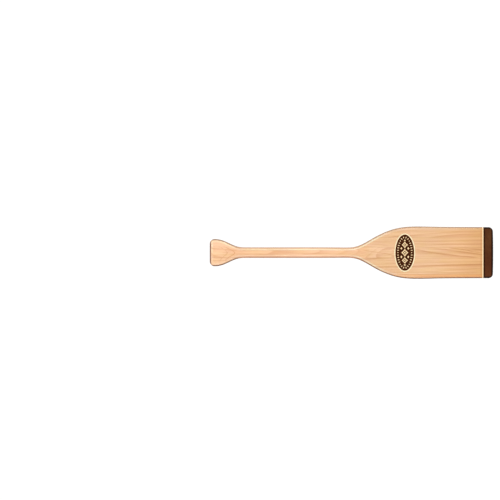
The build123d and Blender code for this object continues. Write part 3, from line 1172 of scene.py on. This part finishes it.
def deepen_edges(graph, colour, z, normal_y, normal_z, inside, shaft, right):
    """Painted shade: the rounded edges are tinted darker where their surface turns from the faces."""
    # where the painted shade falls: edges turned from Y, and a band in from the outline
    away = abs(normal_y).ramp(0.92, 0.25) | inside.ramp(1.4, 4.8, to=(0.85, 0.0))
    edge = graph.mix(right, EDGE_SHADE_LEFT, EDGE_SHADE_RIGHT)
    edge = graph.mix(z.ramp(745.0, 757.0), edge, EDGE_SHADE_LEFT)
    shoulder = abs(normal_y).ramp(0.35, 0.75)
    edge = graph.mix(shaft, edge, graph.mix(right, (0.92, 0.50, 0.62), (0.75, 0.86, 1.0)))
    # the painted shade on the sides proper stays warm and only a little darker, and so does that on
    # the grip's end grain
    flat = graph.mix(shaft, (0.78, 0.68, 0.59), (0.85, 0.78, 0.75))
    edge = graph.mix(shoulder, flat, edge)
    edge = graph.mix(normal_z.ramp(0.60, 0.90), edge, (0.80, 0.70, 0.62))
    return graph.mix(away, colour, graph.tint(colour, edge))


def darken_contour(graph, colour, x, z, normal_y, normal_z, inside, shaft):
    """Painted shade: a dark contour along the edges, and darker colour where the surface turns away
    from the eye.
    """
    # painted shade where the surface turns from the eye, less on the grip's end grain
    turned_away_shade = graph.grazing(0.40, 0.74) * normal_z.ramp(0.50, 0.88, to=(1.0, 0.22))
    contour = inside.fall(1.2, 4.4) * abs(normal_y).ramp(0.06, 0.40)
    contour = contour * graph.grazing(0.01, 0.20)
    # its strength: by side, then at the grip's end, on the grip and on the shaft
    strength = x.ramp(-4.0, 4.0, to=(0.80, 0.50)) | z.ramp(748.0, 757.0, to=(0.0, 0.94))
    strength = strength | z.ramp(686.0, 700.0, to=(0.0, 0.80))
    strength = strength * shaft.ramp(0.0, 1.0, to=(1.0, 0.30))
    # its colour: left, right, then the grip's end
    dark = graph.mix(x.ramp(-4.0, 4.0), (0.13, 0.048, 0.018), (0.30, 0.20, 0.13))
    dark = graph.mix(z.ramp(745.0, 757.0), dark, (0.12, 0.026, 0.016))
    colour = graph.mix(contour * strength, colour, dark)
    turned_away_shade = turned_away_shade * shaft.ramp(0.0, 1.0, to=(0.62, 0.42))
    return graph.mix(turned_away_shade, colour, (0.13, 0.045, 0.020))


def glue_mask(x, y, normal_x, normal_y):
    """Glue lines between the strips on the faces, and between the plies on the sides."""
    across, depth = abs(x), abs(y)
    near = abs(across - CORE_X)
    for glue_x in (INNER_X, MIDDLE_X):
        near = near & abs(across - glue_x)
    on_face = near.fall(0.05, 0.26) * abs(normal_y).ramp(0.35, 0.6)
    on_side = abs(depth - PLY_Y).fall(0.05, 0.26) * abs(normal_x).ramp(0.35, 0.6)
    return (on_face | on_side) * 0.5


def mark_guard_joint(graph, colour, z):
    """A dark line at the resin, a pale one beside it, and a soft darker one a little above."""
    pale = z.fall(GUARD_TOP + 3.0, GUARD_TOP + 3.7)
    colour = graph.mix(pale * 0.95, colour, (1.0, 0.80, 0.50))
    joint = z.ramp(GUARD_TOP + 0.3, GUARD_TOP + 1.5, to=(0.85, 0.0))
    colour = graph.mix(joint, colour, (0.24, 0.080, 0.026))
    above = abs(z - (GUARD_TOP + 6.2)).ramp(1.2, 3.4, to=(0.38, 0.0))
    return graph.mix(above, colour, (0.60, 0.26, 0.08))


def wood(name, light, dark, pith, lean, spacing, seed, contrast, warp,
         meets_guard=False, lines=(), is_ply=False):
    """Clear-varnished wood: the faces show cathedrals and the edges straight grain."""
    material, graph, shader = new_material(name)
    position = graph.position()
    x, y, z = point = graph.split(position)
    shifted = graph.vector("ADD", position, (seed * 37.1, seed * 11.3, seed * 71.7))

    late = late_wood(graph, point, shifted, pith, lean, spacing, seed, warp)
    fibre = graph.noise(shifted, cell=(0.42, 0.42, 36), detail=3, rough=0.62)
    pore = graph.noise(shifted, cell=(0.20, 0.20, 3.4), detail=0).ramp(0.70, 0.80)
    if lines:
        late = add_growth_lines(graph, late, point, shifted, lines)
    if is_ply:
        # the shaft's pale wood takes the blade's colour where the ply runs out on the blade
        up_throat = z.line(262.0, 400.0)
        light = graph.mix(up_throat, BLADE_LIGHT, light)
        dark = graph.mix(up_throat, BLADE_DARK, dark)
        light = graph.mix(z.ramp(692.0, 715.0), light, GRIP_LIGHT)
    colour = graph.mix(graph.math("MULTIPLY", late, contrast, clamp=True), light, dark)
    colour = vary_tone(graph, colour, shifted, fibre, pore)
    colour = vary_along_blade(graph, colour, z)

    normal_x, normal_y, normal_z = graph.normal()
    # distance in from the outline, and masks for the shaft and the right-hand side
    inside = graph.curve(z, SHADER_OUTLINE, low=0.0, high=80.0) - abs(x)
    inside = inside & (LENGTH - z)
    shaft = z.ramp(330.0, 385.0) & z.fall(672.0, 700.0)
    right = x.ramp(-4.0, 4.0)
    # painted highlight inside the edges, then painted shade on the rounded edges and along the
    # contour
    colour = rub_edges(graph, colour, z, normal_y, inside, shaft, right)
    colour = deepen_edges(graph, colour, z, normal_y, normal_z, inside, shaft, right)
    colour = darken_contour(graph, colour, x, z, normal_y, normal_z, inside, shaft)
    glue = glue_mask(x, y, normal_x, normal_y)
    colour = graph.mix(glue, colour, (0.33, 0.16, 0.07))
    if meets_guard:
        colour = mark_guard_joint(graph, colour, z)

    flank = graph.grazing(0.34, 0.52)
    relief = fibre * 0.5 + late * -0.35
    relief = relief - pore * 0.4
    relief = relief - glue * 0.8
    graph.fill(shader, {
        "Base Color": colour,
        "Roughness": fibre.line(0.2, 0.8, to=(0.38, 0.52)) + late * -0.05,
        "Specular IOR Level": flank.ramp(0.0, 1.0, to=(0.30, 0.05)),
        "Coat Weight": flank.ramp(0.0, 1.0, to=(0.60, 0.04)),
        "Coat Roughness": 0.13,
        "Coat IOR": 1.5,
        "Normal": graph.bump(relief, strength=0.35, distance=0.00006),
        "Coat Normal": graph.varnish_ripple(shifted),
    })
    return material


# ----------------------------------------------------------------------------
# Resin and ink
# ----------------------------------------------------------------------------
def resin(name):
    """Dark brown cast resin, scuffed at the tip."""
    material, graph, shader = new_material(name)
    position = graph.position()
    x, _, z = graph.split(position)
    swirl = graph.noise(position, cell=(26, 14, 15), detail=4, rough=0.55, distortion=1.2)
    fine = graph.noise(position, cell=(1.6, 1.6, 1.6))
    colour = graph.mix(swirl.ramp(0.30, 0.72), (0.080, 0.0225, 0.0062), (0.110, 0.0360, 0.0105))
    tone = fine.line(0.3, 0.7, to=(0.94, 1.06))
    colour = graph.tint(colour, graph.combine(tone, tone, tone))
    # a little darker and redder towards the left
    left_to_right_tint = graph.mix(x.ramp(-35.0, 35.0), (0.96, 0.84, 0.78), (0.98, 1.06, 1.02))
    colour = graph.tint(colour, left_to_right_tint)
    # the rounded rim is painted almost black as shade, and the resin is also dark in a band along the
    # glue line
    _, normal_y, _ = graph.normal()
    thin = abs(normal_y).ramp(0.86, 0.3)
    thin = thin | (z.ramp(GUARD_TOP - 4.8, GUARD_TOP - 3.0) * 0.80)
    thin = thin | (GUARD_WIDTH - abs(x)).ramp(3.4, 5.4, to=(0.9, 0.0))
    thin = thin | z.ramp(4.6, 6.6, to=(0.9, 0.0))
    colour = graph.mix(thin, colour, (0.012, 0.0026, 0.0008))
    # light scuffs, in patches near the tip
    scuff = graph.noise(position, cell=(0.5, 0.5, 2.8), detail=3, rough=0.7)
    patch = graph.noise(position, cell=(17, 17, 6))
    worn = scuff.ramp(0.60, 0.72) * patch.ramp(0.52, 0.66)
    worn = worn * z.fall(2.0, 8.0)
    colour = graph.mix(worn * 0.30, colour, (0.13, 0.065, 0.035))
    flank = graph.grazing(0.34, 0.52)
    specular = flank.ramp(0.0, 1.0, to=(0.24, 0.04)) * thin.ramp(0.0, 0.9, to=(1.0, 0.25))
    coat = flank.ramp(0.0, 1.0, to=(0.20, 0.0)) * thin.ramp(0.0, 0.9, to=(1.0, 0.3))
    peel = graph.noise(position, cell=(3.0, 3.0, 3.0))
    graph.fill(shader, {
        "Base Color": colour,
        "Roughness": fine.line(0.3, 0.7, to=(0.28, 0.36)) + worn * 0.3,
        "Specular IOR Level": specular,
        "Coat Weight": coat,
        "Coat Roughness": 0.12,
        "Normal": graph.bump(peel - worn * 0.5, strength=0.3, distance=0.00008),
    })
    return material


def ink(name, base, vary, rough, specular):
    """Printed ink or film, clouded between two colours and varnished."""
    material, graph, shader = new_material(name)
    position = graph.position()
    cloud = graph.noise(position, cell=(9, 9, 9), detail=3, rough=0.6)
    speckle = graph.noise(position, cell=(0.35, 0.35, 0.35), detail=1)
    graph.fill(shader, {
        "Base Color": graph.mix(cloud.ramp(0.3, 0.7) * 0.75 + speckle * 0.25, base, vary),
        "Roughness": speckle.line(0.3, 0.7, to=(rough - 0.04, rough + 0.04)),
        "Coat Weight": 0.26,
        "Coat Roughness": 0.14,
        "Specular IOR Level": specular,
        "Coat Normal": graph.varnish_ripple(position),
    })
    return material


BLADE_KIND = {"meets_guard": True}
CHEEK_KIND = {"lines": VEES}
# name, light colour, dark colour, pith (x, y) at Z = 0, pith's lean per mm of height,
# ring spacing, seed, contrast, wander of the grain, other settings
WOODS = (
    ("core_wood", BLADE_LIGHT, BLADE_DARK, (-58.0, 16.0), (0.14, 0.0),
     13.5, 1.0, 0.80, 4.0, {"meets_guard": True, "lines": BLADE_LINES}),
    ("front_ply_wood", SHAFT_LIGHT, SHAFT_DARK, (6.0, 40.0), (-0.030, 0.035),
     3.8, 2.0, 0.60, 3.0, {"is_ply": True, "lines": THROAT_LINES + VEES}),
    ("back_ply_wood", SHAFT_LIGHT, SHAFT_DARK, (-4.0, -46.0), (0.020, -0.040),
     4.1, 3.0, 0.60, 3.0, {"is_ply": True, "lines": VEES}),
    ("inner_right_wood", BLADE_LIGHT, BLADE_DARK, (95.0, 70.0), (0.012, -0.020),
     7.5, 4.0, 0.85, 2.5, BLADE_KIND),
    ("inner_left_wood", (0.85, 0.510, 0.270), BLADE_DARK, (-110.0, 55.0), (-0.008, 0.020),
     9.0, 5.0, 0.90, 2.5, BLADE_KIND),
    ("middle_right_wood", (0.825, 0.488, 0.252), BLADE_DARK, (20.0, 90.0), (0.010, 0.020),
     4.5, 6.0, 0.75, 2.0, BLADE_KIND),
    ("middle_left_wood", (0.835, 0.500, 0.260), BLADE_DARK, (-10.0, 80.0), (0.0, -0.025),
     5.0, 7.0, 0.75, 2.0, BLADE_KIND),
    ("edge_right_wood", (0.845, 0.500, 0.262), BLADE_DARK, (120.0, 30.0), (0.0, 0.010),
     6.0, 8.0, 0.55, 1.5, BLADE_KIND),
    ("edge_left_wood", (0.86, 0.450, 0.198), (0.58, 0.210, 0.060), (-130.0, 20.0), (0.0, 0.010),
     6.0, 9.0, 0.55, 1.5, BLADE_KIND),
    ("cheek_right_wood", GRIP_LIGHT, GRIP_DARK, (60.0, 30.0), (0.03, 0.02),
     5.0, 10.0, 0.52, 3.0, CHEEK_KIND),
    ("cheek_left_wood", GRIP_LIGHT, GRIP_DARK, (-70.0, 24.0), (-0.03, 0.02),
     5.4, 11.0, 0.52, 3.0, CHEEK_KIND),
)
# name, two colours it clouds between, roughness, specular level; in the order of the badge's slots
INKS = (
    ("badge_film_dark", (0.034, 0.0070, 0.0012), (0.078, 0.0210, 0.0044), 0.42, 0.05),
    ("badge_ink_cream", (1.0, 0.88, 0.56), (1.0, 0.94, 0.66), 0.45, 0.15),
    ("badge_ink_gold", (1.0, 0.70, 0.37), (1.0, 0.80, 0.48), 0.45, 0.15),
    ("badge_ink_tan", (0.55, 0.24, 0.085), (0.66, 0.31, 0.12), 0.45, 0.15),
)
woods = {name: wood(name, *values, **settings) for name, *values, settings in WOODS}
guard_resin = resin("guard_resin")
inks = [ink(*row) for row in INKS]

# ----------------------------------------------------------------------------
# The pieces
# ----------------------------------------------------------------------------
MIRROR_X, MIRROR_Y = (-1, 1, 1), (1, -1, 1)


def place(built, node):
    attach(built, "root")
    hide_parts(node)


def place_sides(mesh, names, nodes, wood_names):
    """Place a right-hand piece and its mirror image. Names have a gap for the side."""
    for side, shape in (("right", mesh), ("left", mesh.mirrored(MIRROR_X))):
        built = shape.build(names.format(side), [woods[wood_names.format(side)]])
        place(built, nodes.format(side))


place(core_ply().build("shaft_core", [woods["core_wood"]]), "shaft_core_ply")

back_ply = outer_ply()
for face, shape in (("back", back_ply), ("front", back_ply.mirrored(MIRROR_Y))):
    place(shape.build(f"shaft_{face}", [woods[f"{face}_ply_wood"]]),
          f"shaft_{face}_ply")

# strip, inner side, outer side (90 is beyond the edge), side of its tongue, steps across its face
for strip, inner_x, outer_x, tongue_x, face_steps in (
    ("inner", CORE_X, INNER_X, INNER_X, 9),
    ("middle", INNER_X, MIDDLE_X, MIDDLE_X, 6),
    ("edge", MIDDLE_X, 90.0, TONGUE_WIDTH, 4),
):
    place_sides(blade_strip(inner_x, outer_x, tongue_x, face_steps), strip + "_strip_{}",
                f"blade_{strip}_strip_" + "{}", strip + "_{}_wood")

place_sides(grip_cheek(), "grip_cheek_piece_{}", "grip_cheek_{}", "cheek_{}_wood")
place(tip_guard().build("tip_guard_cap", [guard_resin]), "tip_guard")
place(badge().build("badge_oval", inks), "blade_badge")

# ----------------------------------------------------------------------------
# Floor, world, lights and camera, in metres
# ----------------------------------------------------------------------------
FLOOR_HALF = 30.0
FLOOR_Z = -0.0004
WHITE_LEVEL = 1.06              # strength of the white that the camera sees


def add_floor():
    """A white sweep: from above it takes a soft contact shadow, along its surface it is plain."""
    mesh = bpy.data.meshes.new("floor")
    corners = [(x * FLOOR_HALF, y * FLOOR_HALF, FLOOR_Z)
               for x, y in ((-1, -1), (1, -1), (1, 1), (-1, 1))]
    mesh.from_pydata(corners, [], [(0, 1, 2, 3)])
    floor = bpy.data.objects.new("floor", mesh)
    scene.collection.objects.link(floor)
    material = bpy.data.materials.new("floor_white")
    material.use_nodes = True
    graph = Graph(material.node_tree)
    graph.tree.nodes.clear()
    openness = graph.add("ShaderNodeAmbientOcclusion", {"Distance": 0.16}, "AO", samples=8)
    incoming = graph.add("ShaderNodeNewGeometry", output="Incoming")
    facing = graph.vector("DOT_PRODUCT", incoming, (0.0, 0.0, 1.0), output=1)
    shade = (1.0 - openness).line(0.0, 0.9) * facing.ramp(0.13, 0.30, to=(0.0, 0.85))
    glow = graph.add("ShaderNodeEmission", {
        "Color": graph.mix(shade, WHITE, (0.42, 0.41, 0.40)), "Strength": WHITE_LEVEL,
    })
    clear = graph.add("ShaderNodeBsdfTransparent")
    # only the camera sees the floor, and only from above
    camera_ray = graph.add("ShaderNodeLightPath", output="Is Camera Ray")
    show = camera_ray * facing.math("GREATER_THAN", 0.0)
    graph.finish("ShaderNodeOutputMaterial",
                 graph.add("ShaderNodeMixShader", {0: show, 1: clear, 2: glow}))
    mesh.materials.append(material)


def add_world():
    """White to the camera. As light: bright tents in front and behind, dark at the sides,
    and a dark card round each line of sight along Y."""
    world = bpy.data.worlds.new("studio")
    scene.world = world
    world.use_nodes = True
    graph = Graph(world.node_tree)
    graph.tree.nodes.clear()
    x, y, z = graph.split(graph.add("ShaderNodeTexCoord", output="Generated"))
    depth = abs(y)
    level = depth.ramp(0.10, 0.52, to=(0.26, 1.37))             # tents
    level = level * depth.ramp(0.82, 0.97, to=(1.0, 0.05))      # cards
    level = level * x.times_plus(0.10, 1.0)                     # brighter on the right
    level = level * z.ramp(-1.0, 0.6, to=(0.72, 1.05))          # and from above
    light = graph.add("ShaderNodeBackground",
                      {"Color": (1.0, 0.995, 0.985, 1), "Strength": level})
    seen = graph.add("ShaderNodeBackground",
                     {"Color": (1, 1, 1, 1), "Strength": WHITE_LEVEL})
    camera_ray = graph.add("ShaderNodeLightPath", output="Is Camera Ray")
    graph.finish("ShaderNodeOutputWorld",
                 graph.add("ShaderNodeMixShader", {0: camera_ray, 1: light, 2: seen}))


STRIP_DISTANCE = 2.4
STRIP_ANGLE = math.radians(56)          # from the Y axis
STRIP_SIZE = (0.14, 2.6)
STRIP_COLOUR = (1.0, 0.97, 0.93)
STRIP_POWERS = {1: 13.0, -1: 9.0}       # watts, on the right and on the left


def add_strip_lights():
    """Tall thin lights that draw a line down each shoulder of the shaft."""
    middle = Vector((0.0, 0.0, LENGTH * MM / 2))
    for side_y in (-1, 1):
        for side_x, power in STRIP_POWERS.items():
            name = f"strip_{side_x}_{side_y}"
            light = bpy.data.lights.new(name, "AREA")
            light.shape = "RECTANGLE"
            light.size, light.size_y = STRIP_SIZE
            light.energy = power
            light.color = STRIP_COLOUR
            lamp = bpy.data.objects.new(name, light)
            scene.collection.objects.link(lamp)
            place_at = Vector((side_x * STRIP_DISTANCE * math.sin(STRIP_ANGLE),
                               side_y * STRIP_DISTANCE * math.cos(STRIP_ANGLE), middle.z))
            lamp.location = place_at
            lamp.rotation_mode = "QUATERNION"
            lamp.rotation_quaternion = (middle - place_at).to_track_quat("-Z", "Y")


def add_camera():
    """A long lens in front of the paddle, on its side: +X is up and -Z is right."""
    lens = bpy.data.cameras.new("camera")
    camera = bpy.data.objects.new("camera", lens)
    scene.collection.objects.link(camera)
    lens.type = "PERSP"
    lens.lens = 150.0
    lens.sensor_width = 36.0
    lens.clip_start, lens.clip_end = 0.05, 100
    camera.location = (0.00712526, -5.6016231, 0.6539111)
    camera.rotation_mode = "QUATERNION"
    camera.rotation_quaternion = Matrix(((0, 1, 0), (0, 0, -1), (-1, 0, 0))).to_quaternion()
    scene.camera = camera


add_floor()
add_world()
add_strip_lights()
add_camera()

scene.view_settings.view_transform = "Standard"
scene.view_settings.look = "None"
scene.view_settings.exposure = 0.0
scene.view_settings.gamma = 1.0
